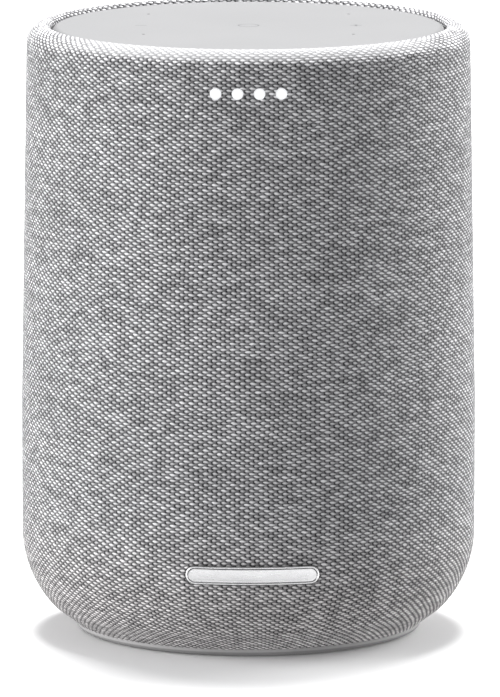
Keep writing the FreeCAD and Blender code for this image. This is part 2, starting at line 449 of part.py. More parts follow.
plate = cyl(46.4, 1.0, 3.45).fuse(cyl(48.4, 2.3, 3.45)).fuse(ring(45.0, 47.4, 3.45, 9.0))
wall_box = box(-POCKET_X - 2.2, POCKET_X + 2.2, POCKET_Y0 - 2.2, 60, 1.0, POCKET_Z + 2.2).common(cyl(47.4, 1.0, 40))
plate = plate.fuse(wall_box)
posts = [cyl(4.2, 3.0, CAB_Z0, x, y) for x, y in BASE_SCREWS] + [cyl(2.4, 3.0, 8.0, x, y) for x, y in PSU_POSTS]
plate = plate.multiFuse(posts)
plate = plate.cut(box(-POCKET_X, POCKET_X, POCKET_Y0, 45.2, -5, POCKET_Z))
plate = plate.cut(box(-12.1, 12.1, -2, POCKET_Y0 + 0.5, 2.0, 15.6))
plate = plate.cut(cord_cut.common(box(-10, 10, 40, 80, -5, CORD_Z)))
plate = plate.cut(many([cyl(1.7, -5, 60, x, y) for x, y in BASE_SCREWS]
                       + [cyl(3.4, -5, 2.2, x, y) for x, y in BASE_SCREWS]
                       + [box(20.4, 29.6, 27.4, 31.2, -5, 9)]))
plate = plate.removeSplitter()
nodes["base_plate"] = plate
nodes["base_screws"] = many([fuse(cyl(1.6, 2.2, CAB_Z0 + 2.0, x, y), cyl(3.2, 1.1, 2.2, x, y).cut(box(x - 2, x + 2, y - 0.4, y + 0.4, 0, 1.6)).cut(
    box(x - 0.4, x + 0.4, y - 2, y + 2, 0, 1.6))) for x, y in BASE_SCREWS])

# mains inlet facing the plug pocket
sock = pill_y(16.4, 8.4, 5.0, 20.0, 8.8)
inlet = box(-12.0, 12.0, -1.9, POCKET_Y0, 2.1, 15.5).cut(sock)
inlet = inlet.cut(many([ycyl(1.2, -5, 6, x, 8.8) for x in (-4.3, 4.3)]))
nodes["ac_inlet"] = inlet
nodes["inlet_pins"] = many([ycyl(1.18, -4.5, 12.5, x, 8.8).fuse(Part.makeSphere(1.18, V(x, 12.5, 8.8))) for x in (-4.3, 4.3)])
nodes["service_port"] = box(20.5, 29.5, 27.5, 31.1, 1.6, 7.0).cut(box(21.1, 28.9, 28.1, 30.5, -1, 6.4))

# power supply in the lower bay
nodes["power_supply_board"] = fuse(box(-31, 31, -42, -6.0, 8.0, 9.6).common(cyl(44.8, 0, 30)), box(-30, -22, -14, -9, 9.6, 15.6), box(14, 20, -40, -30, 9.6, 18.0),
                                   box(-29, -13, -40, -34, 9.6, 20.0))
nodes["power_transformer"] = fuse(box(-10, 10, -34, -14, 9.6, 13.0), box(-10, 10, -34, -14, 23.0, 26.0), box(-7, 7, -31, -17, 13.0, 23.0), box(-10, 10, -26.5, -21.5, 13.0, 23.0))
nodes["power_capacitors"] = many([cyl(5.0, 9.6, 25.0, x, y) for x, y in ((-21, -26), (21, -22))])

# ---------------------------------------------------------------- write
for name, s in nodes.items():
    s.exportStep("parts/" + name + ".step")
print(len(nodes), "nodes")
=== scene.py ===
import bpy, bmesh, json, math
import numpy as np
from mathutils import Vector, Matrix


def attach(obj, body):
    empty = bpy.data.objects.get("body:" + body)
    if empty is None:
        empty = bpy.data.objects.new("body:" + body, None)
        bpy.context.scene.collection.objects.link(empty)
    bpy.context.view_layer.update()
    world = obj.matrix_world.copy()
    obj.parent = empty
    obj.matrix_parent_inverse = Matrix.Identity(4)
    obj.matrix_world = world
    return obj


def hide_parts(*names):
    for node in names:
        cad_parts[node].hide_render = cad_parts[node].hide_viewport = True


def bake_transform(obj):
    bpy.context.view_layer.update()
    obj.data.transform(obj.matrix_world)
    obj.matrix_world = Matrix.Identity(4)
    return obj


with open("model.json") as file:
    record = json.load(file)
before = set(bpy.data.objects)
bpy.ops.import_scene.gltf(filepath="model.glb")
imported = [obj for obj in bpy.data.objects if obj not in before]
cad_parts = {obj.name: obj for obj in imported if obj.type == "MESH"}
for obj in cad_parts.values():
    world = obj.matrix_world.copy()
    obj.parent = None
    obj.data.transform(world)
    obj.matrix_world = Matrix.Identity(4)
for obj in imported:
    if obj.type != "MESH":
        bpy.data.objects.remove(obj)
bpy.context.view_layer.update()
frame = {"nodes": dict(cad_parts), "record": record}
NODES = frame["nodes"]
RECORD = frame["record"]
SLOT_OF = {s["node"]: s["material_slot"] for s in RECORD["subparts"]}
SLOTS = {m["slot"]: m for m in RECORD["materials"]}
S = 0.001
BODY = "speaker_body"

# ------------------------------------------------------------------ outer profile of the cover (millimetres)
FABRIC_T = 1.2
RIM_R_OUT, RIM_R_IN, CREST_R = 5.7, 1.6, 62.5
TOP_Z = 188.0
UNDER_L = 8.72
LED_Z, LED_R = 175.2, 1.75
BADGE_X, BADGE_Z, BADGE_L, BADGE_H = 1.2, 28.4, 40.6, 5.6
RIM_R = CREST_R + RIM_R_OUT
RIM_Z = TOP_Z - RIM_R_OUT
SIDE_R, TAPER_Z = 70.0, 72.0
ARC2_C, ARC2_R = (35.72, 31.33), 34.28
GROOVE_R, GROOVE_Z = CREST_R - RIM_R_IN, 183.2


def outer_profile(off, steps):
    """Points (r, z) from the lower edge to the bottom of the groove, moved inwards by off."""
    u = math.radians(37.4)
    n = (-math.sin(u), math.cos(u))
    p0 = (53.6, 2.56)
    p1 = (p0[0] + UNDER_L * math.cos(u), p0[1] + UNDER_L * math.sin(u))
    c1 = (p1[0] + 8.0 * n[0], p1[1] + 8.0 * n[1])
    a1 = math.radians(49.36)
    e = (c1[0] + 8.0 * math.sin(a1), c1[1] - 8.0 * math.cos(a1))
    c2 = (e[0] - ARC2_R * math.sin(a1), e[1] + ARC2_R * math.cos(a1))
    dx = SIDE_R - (c2[0] + ARC2_R)
    c1, c2, p0 = (c1[0] + dx, c1[1]), (c2[0] + dx, c2[1]), (p0[0] + dx, p0[1])
    pts = []
    for t in np.linspace(0, 1, steps[0] + 1)[:-1]:
        pts.append((p0[0] + n[0] * off + t * UNDER_L * math.cos(u), p0[1] + n[1] * off + t * UNDER_L * math.sin(u)))
    for a in np.radians(np.linspace(37.4, 49.36, steps[1] + 1))[:-1]:
        pts.append((c1[0] + (8.0 - off) * math.sin(a), c1[1] - (8.0 - off) * math.cos(a)))
    for a in np.radians(np.linspace(49.36, 90, steps[2] + 1))[:-1]:
        pts.append((c2[0] + (ARC2_R - off) * math.sin(a), c2[1] - (ARC2_R - off) * math.cos(a)))
    for t in np.linspace(0, 1, steps[3] + 1)[:-1]:
        pts.append((SIDE_R - off, c2[1] + (TAPER_Z - c2[1]) * t))
    for t in np.linspace(0, 1, steps[4] + 1)[:-1]:
        pts.append((SIDE_R - off + (RIM_R - SIDE_R) * t, TAPER_Z + (RIM_Z - TAPER_Z) * t))
    ro, ri = RIM_R_OUT - off, RIM_R_IN - off
    for a in np.radians(np.linspace(0, 90, steps[5] + 1))[:-1]:
        pts.append((CREST_R + ro * math.cos(a), RIM_Z + ro * math.sin(a)))
    for a in np.radians(np.linspace(90, 180, steps[6] + 1))[:-1]:
        pts.append((CREST_R + ri * math.cos(a), TOP_Z - RIM_R_IN + ri * math.sin(a)))
    for t in np.linspace(0, 1, steps[7] + 1):
        pts.append((CREST_R - ri, TOP_Z - RIM_R_IN + (GROOVE_Z - (TOP_Z - RIM_R_IN)) * t))
    return pts


def side_radius(z, off=0.0):
    """Radius of the side at height z (millimetres), moved outwards by off."""
    if z < ARC2_C[1]:
        return ARC2_C[0] + math.sqrt((ARC2_R + off) ** 2 - (z - ARC2_C[1]) ** 2)
    if z < TAPER_Z:
        return SIDE_R + off
    return SIDE_R + (RIM_R - SIDE_R) * (z - TAPER_Z) / (RIM_Z - TAPER_Z) + off


def rounded(points, radii, n=4):
    """Closed polygon of (a, b) whose corners are rounded by the given radii."""
    out = []
    m = len(points)
    for i, p in enumerate(points):
        r = radii[i] if hasattr(radii, "__len__") else radii
        if r <= 0:
            out.append(p)
            continue
        p = Vector(p)
        a, b = Vector(points[i - 1]) - p, Vector(points[(i + 1) % m]) - p
        la, lb = a.length, b.length
        a.normalize(), b.normalize()
        half = math.acos(max(-1, min(1, a.dot(b)))) / 2
        if half < 1e-3 or half > math.pi / 2 - 1e-3:
            out.append(tuple(p))
            continue
        d = min(r / math.tan(half), la * 0.49, lb * 0.49)
        r = d * math.tan(half)
        c = p + (a + b).normalized() * (r / math.sin(half))
        s, e = p + a * d - c, p + b * d - c
        ang = math.acos(max(-1, min(1, s.dot(e) / (s.length * e.length))))
        for k in range(n + 1):
            t = k / n
            v = (s * math.sin((1 - t) * ang) + e * math.sin(t * ang)) / math.sin(ang)
            out.append(tuple(c + v))
    return out


# ------------------------------------------------------------------ mesh helpers
def finish_mesh(bm, name, sharp=38.0, smooth=True):
    bmesh.ops.recalc_face_normals(bm, faces=bm.faces)
    for f in bm.faces:
        f.smooth = smooth
    lim = math.radians(sharp)
    for e in bm.edges:
        e.smooth = not (len(e.link_faces) != 2 or e.calc_face_angle(0.0) > lim)
    me = bpy.data.meshes.new(name)
    bm.to_mesh(me)
    bm.free()
    o = bpy.data.objects.new(name, me)
    bpy.context.scene.collection.objects.link(o)
    return o


def lathe_into(bm, profile, cols, place=None, phase=0.0):
    """Closed profile of (r, z) in mm turned about Z; place maps a point in mm to the frame in metres."""
    place = place or (lambda p: Vector(p) * S)
    rings = []
    for r, z in profile:
        if r < 1e-6:
            rings.append([bm.verts.new(place((0, 0, z)))])
        else:
            rings.append([bm.verts.new(place((r * math.cos(phase + 2 * math.pi * k / cols), r * math.sin(phase + 2 * math.pi * k / cols), z))) for k in range(cols)])
    m = len(rings)
    for i in range(m):
        a, b = rings[i], rings[(i + 1) % m]
        if len(a) == 1 and len(b) == 1:
            continue
        for k in range(cols):
            q = (k + 1) % cols
            vs = [a[k % len(a)], a[q % len(a)], b[q % len(b)], b[k % len(b)]]
            u = []
            for v in vs:
                if v not in u:
                    u.append(v)
            if len(u) > 2:
                bm.faces.new(u)


def lathe(name, profile, cols=128, place=None, sharp=38.0, phase=0.0):
    bm = bmesh.new()
    lathe_into(bm, profile, cols, place, phase)
    return finish_mesh(bm, name, sharp)


def y_place(x0, y0, z0):
    """Shapes turned about Z with their front at +Z are put with the front towards -Y."""
    return lambda p: Vector((x0 + p[0], y0 - p[2], z0 + p[1])) * S


def y_back(x0, y0, z0):
    """The same with the front towards +Y."""
    return lambda p: Vector((x0 - p[0], y0 + p[2], z0 + p[1])) * S


def prism(bm, outline, depth0, depth1, place):
    """Closed prism over an outline of (u, v)."""
    a = [bm.verts.new(place((u, v, depth0))) for u, v in outline]
    b = [bm.verts.new(place((u, v, depth1))) for u, v in outline]
    n = len(outline)
    for i in range(n):
        bm.faces.new([a[i], a[(i + 1) % n], b[(i + 1) % n], b[i]])
    bm.faces.new(a[::-1])
    bm.faces.new(b)


def pill(length, height, n=20):
    """Outline of a stadium, anticlockwise, from its right end."""
    r = height / 2
    h = length / 2 - r
    out = []
    for k in range(n + 1):
        a = -math.pi / 2 + math.pi * k / n
        out.append((h + r * math.cos(a), r * math.sin(a)))
    m = max(2, int(2 * h / 1.6))
    for k in range(1, m):
        out.append((h - 2 * h * k / m, r))
    for k in range(n + 1):
        a = math.pi / 2 + math.pi * k / n
        out.append((-h + r * math.cos(a), r * math.sin(a)))
    for k in range(1, m):
        out.append((-h + 2 * h * k / m, -r))
    return out


def circle(r, n=32, x=0.0, y=0.0):
    return [(x + r * math.cos(2 * math.pi * k / n), y + r * math.sin(2 * math.pi * k / n)) for k in range(n)]


def cutter(outlines, depth0, depth1, place):
    bm = bmesh.new()
    for o in outlines:
        prism(bm, o, depth0, depth1, place)
    bmesh.ops.recalc_face_normals(bm, faces=bm.faces)
    me = bpy.data.meshes.new("cutter")
    bm.to_mesh(me)
    bm.free()
    o = bpy.data.objects.new("cutter", me)
    bpy.context.scene.collection.objects.link(o)
    return o


def boolean(obj, tool, operation="DIFFERENCE", solver="MANIFOLD"):
    mod = obj.modifiers.new("cut", "BOOLEAN")
    mod.operation = operation
    try:
        mod.solver = solver
    except TypeError:
        mod.solver = "EXACT"
    mod.object = tool
    bpy.context.view_layer.update()
    dg = bpy.context.evaluated_depsgraph_get()
    me = bpy.data.meshes.new_from_object(obj.evaluated_get(dg))
    obj.modifiers.clear()
    old = obj.data
    obj.data = me
    bpy.data.meshes.remove(old)
    bpy.data.objects.remove(tool)
    return obj


def resharpen(obj, sharp=38.0):
    bm = bmesh.new()
    bm.from_mesh(obj.data)
    bmesh.ops.remove_doubles(bm, verts=bm.verts, dist=1e-7)
    bmesh.ops.dissolve_degenerate(bm, edges=bm.edges, dist=1e-7)
    bmesh.ops.recalc_face_normals(bm, faces=bm.faces)
    lim = math.radians(sharp)
    for f in bm.faces:
        f.smooth = True
    for e in bm.edges:
        e.smooth = not (len(e.link_faces) != 2 or e.calc_face_angle(0.0) > lim)
    bm.to_mesh(obj.data)
    bm.free()
    return obj


def put(obj, material, body=BODY, replaces=()):
    obj.data.materials.clear()
    obj.data.materials.append(material)
    if body:
        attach(obj, body)
    if replaces:
        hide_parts(*replaces)
    return obj


# ------------------------------------------------------------------ node helpers
class Tree:
    def __init__(self, name):
        self.m = bpy.data.materials.new(name)
        self.m.use_nodes = True
        self.t = self.m.node_tree
        self.t.nodes.clear()
        self.out = self.t.nodes.new("ShaderNodeOutputMaterial")
        self.b = self.t.nodes.new("ShaderNodeBsdfPrincipled")
        self.t.links.new(self.b.outputs[0], self.out.inputs[0])
        tc = self.t.nodes.new("ShaderNodeTexCoord")
        self.p = tc.outputs["Object"]

    def put(self, socket, v):
        if isinstance(v, bpy.types.NodeSocket):
            self.t.links.new(v, socket)
        elif v is not None:
            socket.default_value = v

    def math(self, op, a, b=None, c=None, clamp=False):
        n = self.t.nodes.new("ShaderNodeMath")
        n.operation = op
        n.use_clamp = clamp
        for i, v in enumerate((a, b, c)):
            if v is not None:
                self.put(n.inputs[i], v)
        return n.outputs[0]

    def xyz(self, v=None):
        n = self.t.nodes.new("ShaderNodeSeparateXYZ")
        self.put(n.inputs[0], v or self.p)
        return n.outputs

    def vec(self, x, y, z):
        n = self.t.nodes.new("ShaderNodeCombineXYZ")
        for i, v in enumerate((x, y, z)):
            self.put(n.inputs[i], v)
        return n.outputs[0]

    def scaled(self, v, s):
        n = self.t.nodes.new("ShaderNodeVectorMath")
        n.operation = "MULTIPLY"
        self.put(n.inputs[0], v)
        n.inputs[1].default_value = s
        return n.outputs[0]

    def noise(self, v, scale=1.0, detail=2.0, rough=0.5, distortion=0.0):
        n = self.t.nodes.new("ShaderNodeTexNoise")
        n.inputs["Scale"].default_value = scale
        n.inputs["Detail"].default_value = detail
        n.inputs["Roughness"].default_value = rough
        n.inputs["Distortion"].default_value = distortion
        self.put(n.inputs["Vector"], v)
        return n.outputs[0]

    def voronoi(self, v, scale=1.0, feature="F1", rand=1.0):
        n = self.t.nodes.new("ShaderNodeTexVoronoi")
        n.feature = feature
        n.inputs["Scale"].default_value = scale
        n.inputs["Randomness"].default_value = rand
        self.put(n.inputs["Vector"], v)
        return n.outputs

    def white(self, v):
        n = self.t.nodes.new("ShaderNodeTexWhiteNoise")
        n.noise_dimensions = "2D"
        self.put(n.inputs["Vector"], v)
        return n.outputs

    def wave(self, v, scale, axis="X", distortion=0.0):
        n = self.t.nodes.new("ShaderNodeTexWave")
        n.wave_type = "BANDS"
        n.bands_direction = axis
        n.inputs["Scale"].default_value = scale
        n.inputs["Distortion"].default_value = distortion
        self.put(n.inputs["Vector"], v)
        return n.outputs[1]

    def ramp(self, v, a, b, lo=0.0, hi=1.0, smooth=False):
        n = self.t.nodes.new("ShaderNodeMapRange")
        n.clamp = True
        if smooth:
            n.interpolation_type = "SMOOTHSTEP"
        for i, x in enumerate((v, a, b, lo, hi)):
            self.put(n.inputs[i], x)
        return n.outputs[0]

    def mix(self, f, a, b, blend="MIX"):
        n = self.t.nodes.new("ShaderNodeMix")
        n.data_type = "RGBA"
        n.blend_type = blend
        self.put(n.inputs[0], f)
        self.put(n.inputs[6], a)
        self.put(n.inputs[7], b)
        return n.outputs[2]

    def mixf(self, f, a, b):
        n = self.t.nodes.new("ShaderNodeMix")
        self.put(n.inputs[0], f)
        self.put(n.inputs[2], a)
        self.put(n.inputs[3], b)
        return n.outputs[0]

    def scale_rgb(self, colour, f):
        n = self.t.nodes.new("ShaderNodeVectorMath")
        n.operation = "SCALE"
        self.put(n.inputs[0], colour[:3] if isinstance(colour, tuple) else colour)
        self.put(n.inputs[3], f)
        return n.outputs[0]

    def bump(self, h, distance, strength=1.0, normal=None):
        n = self.t.nodes.new("ShaderNodeBump")
        n.inputs["Strength"].default_value = strength
        n.inputs["Distance"].default_value = distance
        self.put(n.inputs["Height"], h)
        self.put(n.inputs["Normal"], normal)
        return n.outputs[0]

    def done(self, colour=None, rough=None, normal=None, metallic=0.0, **other):
        b = self.b
        self.put(b.inputs["Base Color"], colour)
        self.put(b.inputs["Roughness"], rough)
        self.put(b.inputs["Normal"], normal)
        b.inputs["Metallic"].default_value = metallic
        for k, v in other.items():
            b.inputs[k].default_value = v
        return self.m


def rgb(c, k=1.0):
    return (c[0] * k, c[1] * k, c[2] * k, 1.0)


# ------------------------------------------------------------------ woven cover
CELLS = 152.0
ROW = 1.725
PITCH = 2.89


def cover_material():
    t = Tree("cover_fabric")
    x, y, z = t.xyz()
    at = t.t.nodes.new("ShaderNodeAttribute")
    at.attribute_name = "weave_v"
    ang = t.math("ARCTAN2", y, x)
    drift = t.noise(t.p, 46.0, 1.0, 0.5)
    drift2 = t.noise(t.scaled(t.p, (1.0, 1.0, 1.3)), 61.0, 1.0, 0.5)
    U = t.math("MULTIPLY_ADD", ang, CELLS / (2 * math.pi), t.math("MULTIPLY_ADD", drift, 0.75, -0.375))
    V = t.math("MULTIPLY_ADD", at.outputs["Fac"], 1.0 / ROW, t.math("MULTIPLY_ADD", drift2, 0.7, -0.35))
    # small wobble from yarn to yarn
    wob = t.noise(t.p, 420.0, 1.0, 0.5)
    V = t.math("ADD", V, t.math("MULTIPLY_ADD", wob, 0.34, -0.17))

    def near(v):
        r = t.math("ROUND", v)
        return r, t.math("SUBTRACT", v, r)

    i1, du1 = near(U)
    j1, dv1 = near(V)
    i2, du2 = near(t.math("SUBTRACT", U, 0.5))
    j2, dv2 = near(t.math("SUBTRACT", V, 0.5))

    def ident(i, j, k):
        ii = t.math("FLOORED_MODULO", i, CELLS)
        return t.white(t.vec(t.math("ADD", ii, k), j, 0.0))

    def leaf(du, dv, rnd):
        xx = t.math("MULTIPLY", du, PITCH)
        yy = t.math("MULTIPLY_ADD", dv, ROW, t.math("MULTIPLY", xx, 0.10))
        a = t.math("MULTIPLY_ADD", rnd, 0.32, 0.88)
        t2 = t.math("POWER", t.math("DIVIDE", xx, a), 2.0)
        env = t.math("POWER", t.math("MAXIMUM", t.math("SUBTRACT", 1.0, t2), 0.0), 0.50)
        hb = t.math("MULTIPLY_ADD", env, 0.45, 0.0005)
        q = t.math("POWER", t.math("DIVIDE", yy, hb), 2.0)
        s = t.math("SQRT", t.math("MAXIMUM", t.math("SUBTRACT", 1.0, q), 0.0))
        return t.math("MULTIPLY", env, s)

    w1 = ident(i1, j1, 0.0)
    w2 = ident(i2, j2, 0.5)
    h1 = leaf(du1, dv1, w1[0])
    h2 = leaf(du2, dv2, w2[0])
    first = t.math("GREATER_THAN", h1, h2)
    h = t.math("MAXIMUM", h1, h2)
    rnd = t.mixf(first, w2[0], w1[0])

    def warp(du, dv):
        xx = t.math("POWER", t.math("DIVIDE", du, 0.175), 2.0)
        yy = t.math("POWER", t.math("DIVIDE", dv, 0.46), 2.0)
        return t.math("SQRT", t.math("MAXIMUM", t.math("SUBTRACT", 1.0, t.math("ADD", xx, yy)), 0.0))

    hw = t.math("MAXIMUM", warp(t.math("ADD", du2, 0.085), dv1), warp(t.math("ADD", du1, 0.085), dv2))

    # fibres, row streaks and the wider shade of the heathered yarn
    fib = t.noise(t.scaled(t.p, (900.0, 900.0, 3800.0)), 1.0, 2.0, 0.6)
    streak = t.noise(t.scaled(t.p, (62.0, 62.0, 640.0)), 1.0, 2.0, 0.6)
    cloud = t.noise(t.scaled(t.p, (26.0, 26.0, 60.0)), 1.0, 2.0, 0.5)
    tone = t.math("MULTIPLY_ADD", t.math("SUBTRACT", streak, 0.5), 0.90, 1.0)
    tone = t.math("MULTIPLY", tone, t.math("MULTIPLY_ADD", t.math("SUBTRACT", cloud, 0.5), 0.30, 1.0))
    tone = t.math("MULTIPLY", tone, t.math("MULTIPLY_ADD", t.math("SUBTRACT", rnd, 0.5), 0.42, 1.0))
    tone = t.math("MULTIPLY", tone, t.math("MULTIPLY_ADD", t.math("SUBTRACT", fib, 0.5), 0.75, 1.0))

    Zmm = t.math("MULTIPLY", z, 1000.0)
    Xmm = t.math("MULTIPLY", x, 1000.0)
    # painted highlight: towards the front, the crest of the rim gets a lighter, even colour in place of the glare of
    # the top light; the weave bump is also drawn flatter there over the crest
    rim = t.math("MULTIPLY", t.ramp(Zmm, 184.0, 185.9, 0.0, 1.0, True), t.ramp(y, -0.026, -0.056, 0.0, 1.0, True))
    # painted shade: the weave is darkened in a thin band just outside the badge, in place of the shadow where the cloth
    # meets it; the back half (y > 0) is left as is
    bu = t.math("MAXIMUM", t.math("SUBTRACT", t.math("ABSOLUTE", t.math("SUBTRACT", Xmm, BADGE_X)), (BADGE_L - BADGE_H) / 2), 0.0)
    bv = t.math("SUBTRACT", Zmm, BADGE_Z)
    bd = t.math("SQRT", t.math("ADD", t.math("POWER", bu, 2.0), t.math("POWER", bv, 2.0)))
    badge_painted_shade = t.ramp(bd, BADGE_H / 2 + 0.15, BADGE_H / 2 + 0.62, 0.30, 1.0, True)
    badge_painted_shade = t.math("MAXIMUM", badge_painted_shade, t.math("GREATER_THAN", y, 0.0))

    # painted shade: the crevices between the yarns get a near-black colour in place of the shadow inside the weave
    crevice_painted_shade = (0.036, 0.036, 0.040, 1.0)
    warp_c = (0.235, 0.233, 0.242, 1.0)
    weft_c = (0.95, 0.947, 0.965, 1.0)
    base = t.mix(t.ramp(hw, 0.0, 0.55, smooth=True), crevice_painted_shade, warp_c)
    # painted highlight: each weft yarn is coloured lighter at its crown and on its left side and darker towards its
    # edges, as light from the upper left falls on it
    weft_painted_highlight = t.scale_rgb(weft_c, t.math("MULTIPLY_ADD", t.math("POWER", h, 1.5), 0.72, 0.26))
    weft_painted_highlight = t.scale_rgb(weft_painted_highlight, t.math("MULTIPLY_ADD", t.mixf(first, du2, du1), -0.75, 1.0))
    col = t.mix(t.ramp(h, 0.02, 0.28, smooth=True), base, weft_painted_highlight)
    col = t.scale_rgb(col, tone)
    # painted highlight: lighter even colour laid over the front of the rim crest
    crest_painted_glare = t.mix(t.math("MULTIPLY_ADD", h, 0.55, 0.45), (0.25, 0.25, 0.254, 1.0), (0.56, 0.56, 0.57, 1.0))
    col = t.mix(t.math("MULTIPLY", rim, 0.78), col, crest_painted_glare)
    # painted light: the colour is brightened and warmed towards the bottom, below 50 mm, in place of the light reaching
    # the lower curve
    col = t.mix(t.ramp(Zmm, 50.0, 6.0, 0.0, 1.0, True), col, (1.12, 1.085, 1.06, 1.0), "MULTIPLY")
    col = t.scale_rgb(col, badge_painted_shade)
    height = t.math("MAXIMUM", h, t.math("MULTIPLY", hw, 0.42))
    height = t.math("MULTIPLY_ADD", fib, 0.10, height)
    height = t.math("MULTIPLY", height, t.math("MULTIPLY_ADD", rim, -0.75, 1.0))
    nrm = t.bump(height, 0.00052, 1.0)
    rough = t.ramp(fib, 0.3, 0.7, 0.78, 0.95)
    return t.done(col, rough, nrm, **{"Sheen Weight": 0.10, "Sheen Roughness": 0.45, "Specular IOR Level": 0.25})


def build_cover():
    out = outer_profile(0.0, (7, 3, 18, 16, 44, 12, 5, 2))
    inn = outer_profile(FABRIC_T, (3, 2, 8, 6, 20, 5, 2, 1))
    prof = out + inn[::-1]
    cols = 304
    o = lathe("woven_cover", prof, cols)
    tool = cutter([circle(LED_R + 0.05, 40, x, LED_Z) for x in (-9.9, -3.3, 3.3, 9.9)]
                  + [circle(1.1, 16, x, BADGE_Z) for x in (BADGE_X - 13.0, BADGE_X + 13.0)], 55.0, 85.0, y_place(0, 0, 0))
    boolean(o, tool)
    tool = cutter([pill(37.2, 15.6)], 55.0, 85.0, lambda p: Vector((-p[0], p[2], 150.0 + p[1])) * S)
    boolean(o, tool)
    tool = cutter([[(-4, -5), (4, -5), (4, 6.8), (-4, 6.8)]], 44.0, 85.0, lambda p: Vector((p[0], p[2], p[1])) * S)
    boolean(o, tool)
    resharpen(o, 50.0)
    # distance along the outer profile, for the rows of the weave
    op = np.array(outer_profile(0.0, (7, 6, 24, 2, 2, 16, 8, 2)))
    seg = np.diff(op, axis=0)
    ln = np.linalg.norm(seg, axis=1)
    acc = np.concatenate([[0], np.cumsum(ln)])
    co = np.array([v.co for v in o.data.vertices], float) / S
    q = np.stack([np.hypot(co[:, 0], co[:, 1]), co[:, 2]], 1)
    best = np.full(len(q), 1e9)
    at = np.zeros(len(q))
    for k in range(len(seg)):
        u = np.clip(((q - op[k]) @ seg[k]) / (ln[k] ** 2 + 1e-12), 0, 1)
        d = np.linalg.norm(q - (op[k] + u[:, None] * seg[k]), axis=1)
        near = d < best
        best[near] = d[near]
        at[near] = acc[k] + u[near] * ln[k]
    a = o.data.attributes.new("weave_v", "FLOAT", "POINT")
    a.data.foreach_set("value", at.astype(np.float32))
    return o


# ------------------------------------------------------------------ finishes of the other pieces
def plastic(name, c, rough=0.5, grain=900.0, depth=0.00002, **kw):
    t = Tree(name)
    n = t.noise(t.p, grain, 3.0, 0.6)
    big = t.noise(t.p, 35.0, 2.0, 0.5)
    col = t.mix(t.ramp(big, 0.3, 0.7), rgb(c, 0.93), rgb(c, 1.06))
    col = t.mix(t.ramp(n, 0.35, 0.65), t.scale_rgb(col, 0.97), col)
    return t.done(col, t.ramp(n, 0.3, 0.7, rough - 0.05, rough + 0.07), t.bump(n, depth, 0.8), **kw)


def rubber(name, c, rough=0.75):
    t = Tree(name)
    n = t.noise(t.p, 1500.0, 2.0, 0.6)
    dust = t.noise(t.p, 120.0, 3.0, 0.6)
    col = t.mix(t.ramp(dust, 0.45, 0.75), rgb(c), rgb(c, 1.35))
    return t.done(col, t.ramp(n, 0.3, 0.7, rough - 0.06, rough + 0.1), t.bump(n, 0.00003, 0.7), **{"Specular IOR Level": 0.35})


def metal(name, c, rough=0.3, stretch=(40.0, 900.0, 900.0), metallic=1.0):
    t = Tree(name)
    n = t.noise(t.scaled(t.p, stretch), 1.0, 3.0, 0.6)
    spot = t.noise(t.p, 90.0, 3.0, 0.6)
    col = t.mix(t.ramp(spot, 0.35, 0.7), rgb(c, 0.92), rgb(c, 1.04))
    return t.done(col, t.ramp(n, 0.3, 0.7, max(0.05, rough - 0.08), rough + 0.1), t.bump(n, 0.000008, 0.6), metallic=metallic)


def board(name, c):
    t = Tree(name)
    cell = t.voronoi(t.p, 260.0, "F1", 0.4)
    x, y, z = t.xyz()
    lines = t.wave(t.p, 260.0, "X", 1.2)
    lines2 = t.wave(t.p, 240.0, "Z", 1.5)
    tr = t.math("MAXIMUM", t.ramp(lines, 0.82, 0.9), t.ramp(lines2, 0.86, 0.93))
    vias = t.ramp(cell[0], 0.10, 0.14, 1.0, 0.0)
    col = t.mix(tr, rgb(c), rgb(c, 1.7))
    col = t.mix(vias, col, (0.55, 0.50, 0.38, 1.0))
    return t.done(col, t.ramp(tr, 0, 1, 0.32, 0.42), t.bump(tr, 0.00003, 0.6))


def cone_paper(name, c):
    t = Tree(name)
    x, y, z = t.xyz()
    f = t.noise(t.p, 700.0, 4.0, 0.7, 0.6)
    col = t.mix(t.ramp(f, 0.35, 0.7), rgb(c, 0.8), rgb(c, 1.5))
    return t.done(col, 0.82, t.bump(f, 0.00006, 0.8))


def cloth_small(name, c, pitch=0.0009, depth=0.0001):
    t = Tree(name)
    k = 2 * math.pi / pitch / 20.0
    a = t.wave(t.p, k / (2 * math.pi) * 3.2, "X")
    b = t.wave(t.p, k / (2 * math.pi) * 3.2, "Z")
    w = t.math("MAXIMUM", a, b)
    n = t.noise(t.p, 300.0, 2.0, 0.6)
    col = t.mix(t.ramp(w, 0.3, 1.0), rgb(c, 0.6), rgb(c, 1.1))
    col = t.mix(t.ramp(n, 0.4, 0.7), t.scale_rgb(col, 0.9), col)
    return t.done(col, 0.85, t.bump(w, depth, 0.8))


def copper(name, c):
    t = Tree(name)
    w = t.wave(t.p, 1100.0, "Y")
    n = t.noise(t.p, 500.0, 2.0, 0.5)
    col = t.mix(t.ramp(w, 0.2, 0.9), rgb(c, 0.55), rgb(c, 1.1))
    return t.done(col, t.ramp(n, 0.3, 0.7, 0.22, 0.38), t.bump(w, 0.00006, 0.8), metallic=1.0)


def speckled(name, c, rough=0.6):
    t = Tree(name)
    v = t.voronoi(t.p, 900.0, "F1", 1.0)
    n = t.noise(t.p, 250.0, 4.0, 0.7)
    col = t.mix(t.ramp(n, 0.4, 0.65), rgb(c, 0.75), rgb(c, 1.45))
    return t.done(col, t.ramp(v[0], 0.1, 0.7, rough - 0.12, rough + 0.15), t.bump(n, 0.00005, 0.8))


def foam(name, c):
    t = Tree(name)
    v = t.voronoi(t.p, 700.0, "F1", 1.0)
    n = t.noise(t.p, 60.0, 2.0, 0.5)
    col = t.mix(t.ramp(v[0], 0.1, 0.6), rgb(c, 0.45), rgb(c, 1.2))
    col = t.mix(t.ramp(n, 0.3, 0.7), t.scale_rgb(col, 0.88), col)
    return t.done(col, 0.95, t.bump(v[0], 0.0004, 0.9))


